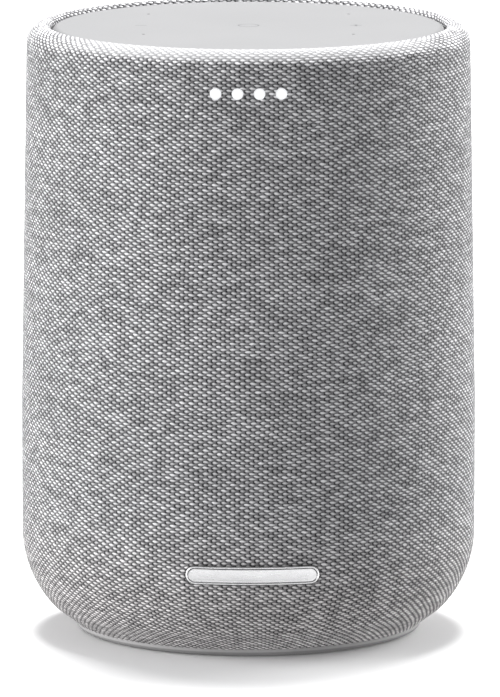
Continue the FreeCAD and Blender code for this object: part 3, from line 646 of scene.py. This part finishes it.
def panel_material():
    """Satin silver paint with fine flakes and the generic touch marks."""
    t = Tree("panel_silver")
    x, y, z = t.xyz()
    X = t.math("MULTIPLY", x, 1000.0)
    Y = t.math("MULTIPLY", y, 1000.0)
    Z = t.math("MULTIPLY", z, 1000.0)
    top = t.math("GREATER_THAN", Z, 187.1)
    Yc = t.math("SUBTRACT", Y, 0.6)

    def ring(r, w):
        d = t.math("SQRT", t.math("ADD", t.math("POWER", X, 2.0), t.math("POWER", Yc, 2.0)))
        return t.ramp(t.math("ABSOLUTE", t.math("SUBTRACT", d, r)), w * 0.5, w * 0.5 + 0.10, 1.0, 0.0, True)

    AX = t.math("ABSOLUTE", X)
    dash = t.math("MULTIPLY", t.ramp(t.math("ABSOLUTE", t.math("SUBTRACT", AX, 33.0)), 1.7, 1.85, 1.0, 0.0, True),
                  t.ramp(t.math("ABSOLUTE", Yc), 0.30, 0.44, 1.0, 0.0, True))
    plus = t.math("MULTIPLY", t.ramp(t.math("ABSOLUTE", t.math("SUBTRACT", X, 33.0)), 0.30, 0.44, 1.0, 0.0, True),
                  t.ramp(t.math("ABSOLUTE", Yc), 1.7, 1.85, 1.0, 0.0, True))
    marks = t.math("MAXIMUM", t.math("MAXIMUM", dash, plus), ring(3.1, 0.42))
    marks = t.math("MULTIPLY", marks, top)
    flake = t.noise(t.p, 5200.0, 1.0, 0.5)
    haze = t.noise(t.p, 28.0, 2.0, 0.5)
    base = t.mix(t.ramp(haze, 0.3, 0.7), (0.280, 0.280, 0.284, 1.0), (0.293, 0.293, 0.297, 1.0))
    base = t.mix(t.ramp(flake, 0.35, 0.7), t.scale_rgb(base, 0.97), base)
    col = t.mix(t.math("MULTIPLY", marks, 0.85), base, (0.10, 0.10, 0.105, 1.0))
    rough = t.ramp(flake, 0.3, 0.7, 0.36, 0.46)
    return t.done(col, rough, t.bump(flake, 0.000004, 0.5), metallic=0.25, **{"Coat Weight": 0.15, "Coat Roughness": 0.35})


def badge_material():
    """Satin silver with a shadow line where the raised rim meets the plate."""
    t = Tree("badge_metal")
    x, y, z = t.xyz()
    u = t.math("SUBTRACT", t.math("MULTIPLY", x, 1000.0), BADGE_X)
    v = t.math("SUBTRACT", t.math("MULTIPLY", z, 1000.0), BADGE_Z)
    uu = t.math("MAXIMUM", t.math("SUBTRACT", t.math("ABSOLUTE", u), (BADGE_L - BADGE_H) / 2), 0.0)
    d = t.math("SQRT", t.math("ADD", t.math("POWER", uu, 2.0), t.math("POWER", v, 2.0)))
    line = t.ramp(t.math("ABSOLUTE", t.math("SUBTRACT", d, BADGE_H / 2 - 0.74)), 0.10, 0.24, 1.0, 0.0, True)
    line = t.math("MULTIPLY", line, t.ramp(v, -1.2, 0.9, 0.12, 0.86, True))
    n = t.noise(t.scaled(t.p, (60.0, 900.0, 1800.0)), 1.0, 3.0, 0.6)
    big = t.noise(t.p, 140.0, 2.0, 0.5)
    col = t.mix(t.ramp(big, 0.3, 0.7), (0.43, 0.43, 0.435, 1.0), (0.46, 0.46, 0.465, 1.0))
    # painted highlight: the raised rim is coloured lighter than the plate
    rim_painted_highlight = t.ramp(d, BADGE_H / 2 - 0.66, BADGE_H / 2 - 0.52, 0.0, 1.0, True)
    col = t.mix(rim_painted_highlight, col, (0.60, 0.60, 0.605, 1.0))
    col = t.mix(line, col, (0.05, 0.05, 0.053, 1.0))
    return t.done(col, t.ramp(n, 0.3, 0.7, 0.20, 0.30), t.bump(n, 0.000006, 0.5), metallic=0.80)


def led_material():
    t = Tree("light_guide")
    x, y, z = t.xyz()
    X = t.math("MULTIPLY", x, 1000.0)
    Z = t.math("SUBTRACT", t.math("MULTIPLY", z, 1000.0), LED_Z)
    xx = t.math("SUBTRACT", t.math("ABSOLUTE", t.math("SUBTRACT", t.math("FLOORED_MODULO", X, 6.6), 3.3)), 0.0)
    r = t.math("SQRT", t.math("ADD", t.math("POWER", xx, 2.0), t.math("POWER", Z, 2.0)))
    n = t.noise(t.p, 900.0, 2.0, 0.5)
    glow = t.ramp(r, 1.0, 1.75, 1.0, 0.86, True)
    glow = t.math("MULTIPLY", glow, t.ramp(n, 0.3, 0.7, 0.97, 1.0))
    col = t.scale_rgb((0.93, 0.94, 0.955, 1.0), glow)
    m = t.done((0.35, 0.35, 0.36, 1.0), t.ramp(n, 0.3, 0.7, 0.3, 0.4), t.bump(n, 0.000005, 0.4))
    t.put(t.b.inputs["Emission Color"], col)
    t.b.inputs["Emission Strength"].default_value = 0.84
    return m


def control_mark(name, c, kind):
    """Key plastic with a small printed mark."""
    t = Tree(name)
    x, y, z = t.xyz()
    cx = 9.0 if kind == "mute" else -9.0
    X = t.math("SUBTRACT", t.math("MULTIPLY", x, 1000.0), cx)
    Z = t.math("SUBTRACT", t.math("MULTIPLY", z, 1000.0), 150.0)
    d = t.math("SQRT", t.math("ADD", t.math("POWER", X, 2.0), t.math("POWER", Z, 2.0)))
    ringm = t.ramp(t.math("ABSOLUTE", t.math("SUBTRACT", d, 2.0)), 0.15, 0.24, 1.0, 0.0, True)
    if kind == "mute":
        di = t.math("ABSOLUTE", t.math("MULTIPLY", t.math("SUBTRACT", X, Z), 0.7071))
        bar = t.math("MULTIPLY", t.ramp(di, 0.15, 0.24, 1.0, 0.0, True), t.ramp(d, 2.1, 2.2, 1.0, 0.0))
        mark = t.math("MAXIMUM", ringm, bar)
    else:
        dot = t.ramp(d, 0.55, 0.65, 1.0, 0.0, True)
        mark = t.math("MAXIMUM", ringm, dot)
    mark = t.math("MULTIPLY", mark, t.math("GREATER_THAN", y, 0.066))
    n = t.noise(t.p, 1100.0, 3.0, 0.6)
    big = t.noise(t.p, 80.0, 2.0, 0.5)
    base = t.mix(t.ramp(big, 0.3, 0.7), rgb(c, 0.58), rgb(c, 0.65))
    col = t.mix(mark, base, (0.045, 0.045, 0.048, 1.0))
    return t.done(col, t.ramp(n, 0.3, 0.7, 0.42, 0.55), t.bump(n, 0.00002, 0.7))


def base_material(name, c):
    """Grey moulding, darker towards the bottom of the ring."""
    t = Tree(name)
    x, y, z = t.xyz()
    n = t.noise(t.p, 1100.0, 3.0, 0.6)
    big = t.noise(t.p, 35.0, 2.0, 0.5)
    col = t.mix(t.ramp(big, 0.3, 0.7), rgb(c, 0.93), rgb(c, 1.06))
    col = t.mix(t.ramp(n, 0.35, 0.65), t.scale_rgb(col, 0.97), col)
    col = t.scale_rgb(col, t.ramp(t.math("MULTIPLY", z, 1000.0), 1.35, 1.75, 0.58, 1.0, True))
    return t.done(col, t.ramp(n, 0.3, 0.7, 0.45, 0.57), t.bump(n, 0.00002, 0.8))


C = {k: v["base_color"] for k, v in SLOTS.items()}
MATS = {
    "cover_fabric": cover_material(),
    "frame_black": plastic("frame_black", C["frame_black"], 0.55),
    "panel_silver": panel_material(),
    "seal_rubber": rubber("seal_rubber", C["seal_rubber"]),
    "pcb_green": board("pcb_green", C["pcb_green"]),
    "pcb_black": board("pcb_black", C["pcb_black"]),
    "mic_metal": metal("mic_metal", C["mic_metal"], 0.35),
    "gasket_foam": foam("gasket_foam", C["gasket_foam"]),
    "light_guide": led_material(),
    "badge_metal": badge_material(),
    "steel_zinc": metal("steel_zinc", C["steel_zinc"], 0.32),
    "cabinet_abs": plastic("cabinet_abs", C["cabinet_abs"], 0.5, 700.0, 0.00004),
    "basket_steel": plastic("basket_steel", C["basket_steel"], 0.42, 1400.0, 0.00001),
    "plate_steel": metal("plate_steel", C["plate_steel"], 0.3, (300.0, 300.0, 300.0)),
    "ferrite": speckled("ferrite", C["ferrite"]),
    "neodymium": metal("neodymium", C["neodymium"], 0.15, (200.0, 200.0, 200.0)),
    "cone_paper": cone_paper("cone_paper", C["cone_paper"]),
    "surround_rubber": rubber("surround_rubber", C["surround_rubber"], 0.6),
    "spider_cloth": cloth_small("spider_cloth", C["spider_cloth"]),
    "coil_copper": copper("coil_copper", C["coil_copper"]),
    "dome_silk": cloth_small("dome_silk", C["dome_silk"], 0.0004, 0.00003),
    "foam_grey": foam("foam_grey", C["foam_grey"]),
    "heat_alu": metal("heat_alu", C["heat_alu"], 0.35, (900.0, 900.0, 60.0)),
    "antenna_pcb": board("antenna_pcb", C["antenna_pcb"]),
    "control_plastic": plastic("control_plastic", [0.58 * k for k in C["control_plastic"]], 0.5, 1200.0),
    "button_plastic": plastic("button_plastic", C["button_plastic"], 0.45, 1200.0),
    "switch_body": plastic("switch_body", C["switch_body"], 0.45, 1200.0),
    "base_grey": base_material("base_grey", C["base_grey"]),
    "foot_rubber": rubber("foot_rubber", C["foot_rubber"]),
    "inlet_black": plastic("inlet_black", C["inlet_black"], 0.4, 900.0),
    "pin_brass": metal("pin_brass", C["pin_brass"], 0.25, (300.0, 300.0, 300.0)),
    "transformer_core": speckled("transformer_core", C["transformer_core"], 0.55),
    "cap_sleeve": plastic("cap_sleeve", C["cap_sleeve"], 0.3, 500.0, 0.00001),
}
for name, o in NODES.items():
    m = MATS[SLOT_OF[name]]
    o.data.materials.clear()
    o.data.materials.append(m)

# ------------------------------------------------------------------ cover
cover = put(build_cover(), MATS["cover_fabric"], replaces=["fabric_cover"])

# ------------------------------------------------------------------ top panel
prof = [(0, 187.2), (20, 187.2), (40, 187.2), (54, 187.2)]
prof += [(58.2 + 2.2 * math.sin(a), 185.0 + 2.2 * math.cos(a)) for a in np.radians(np.linspace(0, 90, 13))]
prof += [(60.4, 181.35), (60.2, 181.15), (59.1, 181.15), (58.9, 181.35), (58.9, 185.3), (58.6, 185.6), (40, 185.6), (20, 185.6), (0, 185.6)]
panel = lathe("touch_panel", prof, 192, sharp=50.0)
tool = cutter([circle(0.5, 20, sx, sy) for sx, sy in ((-32, -20.5), (32, -20.5), (-31, 28), (31, 28))], 184.0, 189.0, lambda p: Vector(p) * S)
boolean(panel, tool)
resharpen(panel, 50.0)
put(panel, MATS["panel_silver"], replaces=["top_panel"])

seal = lathe("panel_groove_seal", rounded([(60.45, 181.1), (62.15, 181.1), (62.15, 182.9), (60.45, 182.9)], [0.1, 0.1, 0.5, 0.5], 4), 160)
put(seal, MATS["seal_rubber"], replaces=["top_seal_ring"])

# ------------------------------------------------------------------ light guide: bar and four domed tips
bm = bmesh.new()
bar = rounded([(-12.2, -2.3), (12.2, -2.3), (12.2, 4.0), (-12.2, 4.0)], 0.6, 4)
prism(bm, bar, 62.25, 63.35, lambda p: Vector((p[0], -p[2], LED_Z + p[1])) * S)
guide = finish_mesh(bm, "led_guide", 40)
bm = bmesh.new()
for x in (-9.9, -3.3, 3.3, 9.9):
    front = math.sqrt(side_radius(LED_Z) ** 2 - x * x)
    tip = [(0, 62.8), (LED_R, 62.8), (LED_R, front - 0.22)]
    tip += [(LED_R - 0.22 + 0.22 * math.cos(a), front - 0.22 + 0.16 * math.sin(a)) for a in np.radians(np.linspace(15, 90, 5))]
    tip += [(0.8, front - 0.03), (0, front - 0.02)]
    lathe_into(bm, tip, 40, y_place(x, 0, LED_Z))
tips = finish_mesh(bm, "led_tips", 40)
boolean(guide, tips, "UNION")
resharpen(guide, 40)
put(guide, MATS["light_guide"], replaces=["led_light_guide"])


# ------------------------------------------------------------------ badge: pill with a raised rim, wrapped to the lower curve
def skin(x, z, off):
    r = side_radius(z, off)
    return Vector((x, -math.sqrt(r * r - x * x), z)) * S


def pill_inset(length, height, inset, n=20):
    """Outline of the pill, inset, with the same number of points each time."""
    r = height / 2 - inset
    h = length / 2 - height / 2
    m = 18
    out = []
    for k in range(n + 1):
        a = -math.pi / 2 + math.pi * k / n
        out.append((h + r * math.cos(a), r * math.sin(a)))
    for k in range(1, m):
        out.append((h - 2 * h * k / m, r))
    for k in range(n + 1):
        a = math.pi / 2 + math.pi * k / n
        out.append((-h + r * math.cos(a), r * math.sin(a)))
    for k in range(1, m):
        out.append((-h + 2 * h * k / m, -r))
    return out


def skin_pill(name, length, height, z0, loops, point, sharp=45.0):
    """Closed shell from pill loops (inset, off): the last loop and the first are closed by strips across."""
    bm = bmesh.new()
    rings = []
    for inset, off in loops:
        rings.append([bm.verts.new(point(u, z0 + v, off)) for u, v in pill_inset(length, height, inset)])
    n = len(rings[0])
    for a, b in zip(rings, rings[1:]):
        for k in range(n):
            bm.faces.new([a[k], a[(k + 1) % n], b[(k + 1) % n], b[k]])
    N, M = 20, 18
    for ring in (rings[0], rings[-1]):
        right, top = ring[:N + 1], ring[N + 1:N + M]
        left, bottom = ring[N + M:2 * N + M + 1], ring[2 * N + M + 1:]
        up = [right[-1]] + top + [left[0]]
        low = [right[0]] + bottom[::-1] + [left[-1]]
        for k in range(M):
            bm.faces.new([up[k], up[k + 1], low[k + 1], low[k]])
        for k in range(N // 2):
            a, b, c, d = right[k], right[k + 1], right[N - k - 1], right[N - k]
            bm.faces.new([v for v in (a, b, c, d)] if b is not c else [a, b, d])
            a, b, c, d = left[k], left[k + 1], left[N - k - 1], left[N - k]
            bm.faces.new([v for v in (a, b, c, d)] if b is not c else [a, b, d])
    return finish_mesh(bm, name, sharp)


badge = skin_pill("badge_pill", BADGE_L, BADGE_H, BADGE_Z,
                  [(0.25, 0.05), (0.04, 0.12), (0.0, 0.25), (0.0, 0.72), (0.05, 0.88), (0.16, 0.97), (0.30, 1.0), (0.42, 0.99),
                   (0.53, 0.93), (0.60, 0.84), (0.66, 0.66), (0.72, 0.59), (0.84, 0.56), (1.3, 0.57), (1.9, 0.58)], lambda x, z, off: skin(x + BADGE_X, z, off), 60.0)
bm = bmesh.new()
for x in (BADGE_X - 13.0, BADGE_X + 13.0):
    top_y = math.sqrt(side_radius(BADGE_Z) ** 2 - x * x) + 0.3
    lathe_into(bm, [(0, 62.6), (0.8, 62.6), (1.0, 62.8), (1.0, top_y), (0, top_y)], 24, y_place(x, 0, BADGE_Z))
studs = finish_mesh(bm, "badge_studs", 40)
boolean(badge, studs, "UNION")
resharpen(badge, 60)
put(badge, MATS["badge_metal"], replaces=["badge_plate"])

# ------------------------------------------------------------------ base ring and foot
prof = [(46.5, 1.0), (50.25, 1.0), (50.3, 0.62), (50.42, 0.46), (50.8, 0.42), (51.3, 0.41)]
prof += [(51.7 + 1.45 * math.sin(a), 1.87 - 1.45 * math.cos(a)) for a in np.radians(np.linspace(0, 88, 12))]
prof += [(53.22, 2.2), (53.28, 2.42), (53.2, 2.54), (52.3, 3.28), (50.0, 3.43), (48.5, 3.43), (48.5, 2.2), (46.5, 2.2)]
ring_o = lathe("base_trim_ring", prof, 224, sharp=50)
tool = cutter([[(-4, -3), (4, -3), (4, 6.8), (-4, 6.8)]], 44.0, 80.0, lambda p: Vector((p[0], p[2], p[1])) * S)
boolean(ring_o, tool)
tool = cutter([[(-17.3, -3), (17.3, -3), (17.3, 10), (-17.3, 10)]], 30.0, 47.5, lambda p: Vector((p[0], p[2], p[1])) * S)
boolean(ring_o, tool)
resharpen(ring_o, 50)
put(ring_o, MATS["base_grey"], replaces=["base_ring"])

foot = lathe("foot_pad_ring", rounded([(43.6, 0.0), (50.2, 0.0), (50.2, 1.0), (43.6, 1.0)], [0.3, 0.3, 0, 0], 4), 200)
tool = cutter([[(-17.0, -3), (17.0, -3), (17.0, 4), (-17.0, 4)]], 30.0, 60.0, lambda p: Vector((p[0], p[2], p[1])) * S)
boolean(foot, tool)
resharpen(foot, 50)
put(foot, MATS["foot_rubber"], replaces=["rubber_foot"])


# ------------------------------------------------------------------ rear control panel and its keys
def back_skin(x, z, off):
    r = side_radius(z, off)
    return Vector((-x, math.sqrt(r * r - x * x), z)) * S


def bezel_point(x, z, off):
    if off < -2.0:
        return Vector((-x, 62.5, z)) * S
    return back_skin(x, z, off)


bezel = skin_pill("rear_key_panel", 37.0, 15.4, 150.0,
                  [(0.0, -9.0), (0.0, -1.2), (0.06, -0.75), (0.2, -0.48), (0.45, -0.33), (0.8, -0.3), (1.3, -0.42), (1.7, -0.48), (2.4, -0.5)], bezel_point, 60.0)
bm = bmesh.new()
for x in (-9.0, 9.0):
    lathe_into(bm, [(0, 55), (4.6, 55), (4.6, 66.9), (5.6, 68.6), (5.6, 80), (0, 80)], 48, y_back(x, 0, 150.0))
holes = finish_mesh(bm, "cutter", 40)
boolean(bezel, holes)
bm = bmesh.new()
for s in (-1, 1):
    lathe_into(bm, [(0, 53.5), (0.8, 53.5), (0.9, 53.6), (0.9, 55.2), (1.8, 55.2), (1.8, 63.2), (0, 63.2)], 24, y_back(0, 0, 150.0 + s * 4.6))
posts = finish_mesh(bm, "posts", 40)
boolean(bezel, posts, "UNION")
resharpen(bezel, 45)
put(bezel, MATS["control_plastic"], replaces=["rear_control_bezel"])


def key(name, x, mat, body, node):
    prof = [(0, 59.4), (1.4, 59.4), (1.5, 59.5), (1.5, 61.4), (5.25, 61.4), (5.4, 61.55), (5.4, 62.15), (5.25, 62.3), (4.5, 62.3), (4.5, 67.75)]
    prof += [(4.1 + 0.4 * math.cos(a), 67.8 + 0.42 * math.sin(a)) for a in np.radians(np.linspace(12, 84, 6))]
    prof += [(3.2, 68.36), (2.4, 68.42), (1.5, 68.47), (0.8, 68.49), (0, 68.5)]
    o = lathe(name, prof, 48, y_back(x, 0, 150.0), 45)
    return put(o, mat, body, [node])


key("mute_key_cap", 9.0, control_mark("mute_key_plastic", C["button_plastic"], "mute"), "mic_mute_key", "mic_mute_button")
key("pairing_key_cap", -9.0, control_mark("pairing_key_plastic", C["button_plastic"], "pair"), "pairing_key", "pairing_button")


# ------------------------------------------------------------------ driver suspensions: the roll surrounds and the spider
def suspension(name, prof, cols, z0, mat, r_in, r_out, node):
    o = lathe(name, prof, cols, y_place(0, -43.0, z0), 70)
    o.data.materials.append(MATS[mat])
    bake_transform(o)
    co = np.array([v.co for v in o.data.vertices], float)
    r = np.hypot(co[:, 0], co[:, 2] - z0 * S) / S
    w = np.clip((r_out - r) / (r_out - r_in), 0, 1)
    w = w * w * (3 - 2 * w)
    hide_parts(node)
    return o


def roll(r0, r1, h0, hump, t, lip_in, lip_out, n=16):
    """Half roll from r0 to r1, with lips, as a closed profile of thickness t."""
    low, up = [], []
    c, rr = (r0 + r1) / 2, (r1 - r0) / 2
    for k in range(n + 1):
        a = math.pi - math.pi * k / n
        low.append((c + rr * math.cos(a), h0 + hump * math.sin(a)))
        up.append((c + (rr + t * abs(math.cos(a)) * 0.9) * math.cos(a) if 0 < k < n else c + rr * math.cos(a), h0 + t + hump * math.sin(a)))
    return [(lip_in, h0)] + low + [(lip_out, h0)] + [(lip_out, h0 + t)] + up[::-1] + [(lip_in, h0 + t)]


suspension("woofer_roll_surround", roll(36.3, 41.4, 2.56, 2.6, 0.5, 34.4, 45.0), 144, 80.0, "surround_rubber",
           36.3, 41.4, "woofer_surround")
spider = []
for k in range(61):
    r = 12.82 + (27.8 - 12.82) * k / 60
    wv = 0.0 if r < 14.0 or r > 26.0 else 0.42 * (1 - math.cos(2 * math.pi * (r - 14.0) / 2.4)) / 1.0
    spider.append((r, -16.25 + wv - 0.15 * max(0.0, (r - 26.0) / 1.8)))
suspension("woofer_corrugated_spider", spider + [(r, z - 0.45) for r, z in reversed(spider)], 120, 80.0, "spider_cloth",
           13.6, 26.4, "woofer_spider")
suspension("tweeter_roll_surround", roll(10.7, 12.3, -0.6, 0.65, 0.3, 10.25, 12.75, 10), 96, 148.5, "surround_rubber",
           10.6, 12.4, "tweeter_surround")

# ------------------------------------------------------------------ floor, light and camera
bm = bmesh.new()
size = 14.0
g = 8
vs = [[bm.verts.new((size * (i / g - 0.5) * 2, size * (j / g - 0.5) * 2, 0.0)) for i in range(g + 1)] for j in range(g + 1)]
for j in range(g):
    for i in range(g):
        bm.faces.new([vs[j][i], vs[j][i + 1], vs[j + 1][i + 1], vs[j + 1][i]])
floor = finish_mesh(bm, "floor_sheet", 40)
ft = Tree("studio_floor")
fn = ft.noise(ft.p, 3.0, 2.0, 0.5)
floor.data.materials.append(ft.done(ft.mix(ft.ramp(fn, 0.3, 0.7), (0.94, 0.94, 0.94, 1), (0.955, 0.955, 0.955, 1)), 0.9, None, **{"Specular IOR Level": 0.1}))
floor.visible_diffuse = False


def aim(o, target):
    d = Vector(target) - o.location
    o.rotation_mode = "QUATERNION"
    o.rotation_quaternion = d.to_track_quat("-Z", "Y")


def sun(name, direction, strength, angle):
    """Soft distant light that shines from the given direction."""
    l = bpy.data.lights.new(name, "SUN")
    l.energy = strength
    l.angle = math.radians(angle)
    o = bpy.data.objects.new(name, l)
    o.location = Vector(direction) * 2.0
    bpy.context.scene.collection.objects.link(o)
    aim(o, (0, 0, 0))
    return o


def from_angles(az, el):
    """Azimuth 0 is the front (-Y), 90 the right hand (+X)."""
    a, e = math.radians(az), math.radians(el)
    return (math.sin(a) * math.cos(e), -math.cos(a) * math.cos(e), math.sin(e))


sun("top_light", from_angles(180, 70), 5.9, 26)
sun("left_light", from_angles(-82, 12), 3.1, 50)
sun("right_light", from_angles(128, 14), 3.2, 40)

world = bpy.data.worlds.new("studio")
bpy.context.scene.world = world
world.use_nodes = True
wt = world.node_tree
wt.nodes.clear()
wo = wt.nodes.new("ShaderNodeOutputWorld")
bg = wt.nodes.new("ShaderNodeBackground")
white_bg = wt.nodes.new("ShaderNodeBackground")
white_bg.inputs[0].default_value = (1, 1, 1, 1)
white_bg.inputs[1].default_value = 1.0
lp = wt.nodes.new("ShaderNodeLightPath")
mx = wt.nodes.new("ShaderNodeMixShader")
bg.inputs[0].default_value = (0.985, 0.985, 1.0, 1)
bg.inputs[1].default_value = 0.5
wt.links.new(lp.outputs["Is Camera Ray"], mx.inputs[0])
wt.links.new(bg.outputs[0], mx.inputs[1])
wt.links.new(white_bg.outputs[0], mx.inputs[2])
wt.links.new(mx.outputs[0], wo.inputs[0])

cam_data = bpy.data.cameras.new("camera")
cam = bpy.data.objects.new("camera", cam_data)
bpy.context.scene.collection.objects.link(cam)
cam_data.sensor_fit = "AUTO"
cam_data.sensor_width = 36.0
cam_data.lens = 9849.0 / 697.0 * 36.0
cam.location = (0.0, -3.0, 0.5737)
cam.rotation_euler = (math.radians(90 - 9.219), 0.0, math.radians(-0.0087))
cam_data.clip_start, cam_data.clip_end = 0.1, 60.0
bpy.context.scene.camera = cam
bpy.context.scene.view_settings.view_transform = "Standard"
bpy.context.scene.view_settings.look = "None"
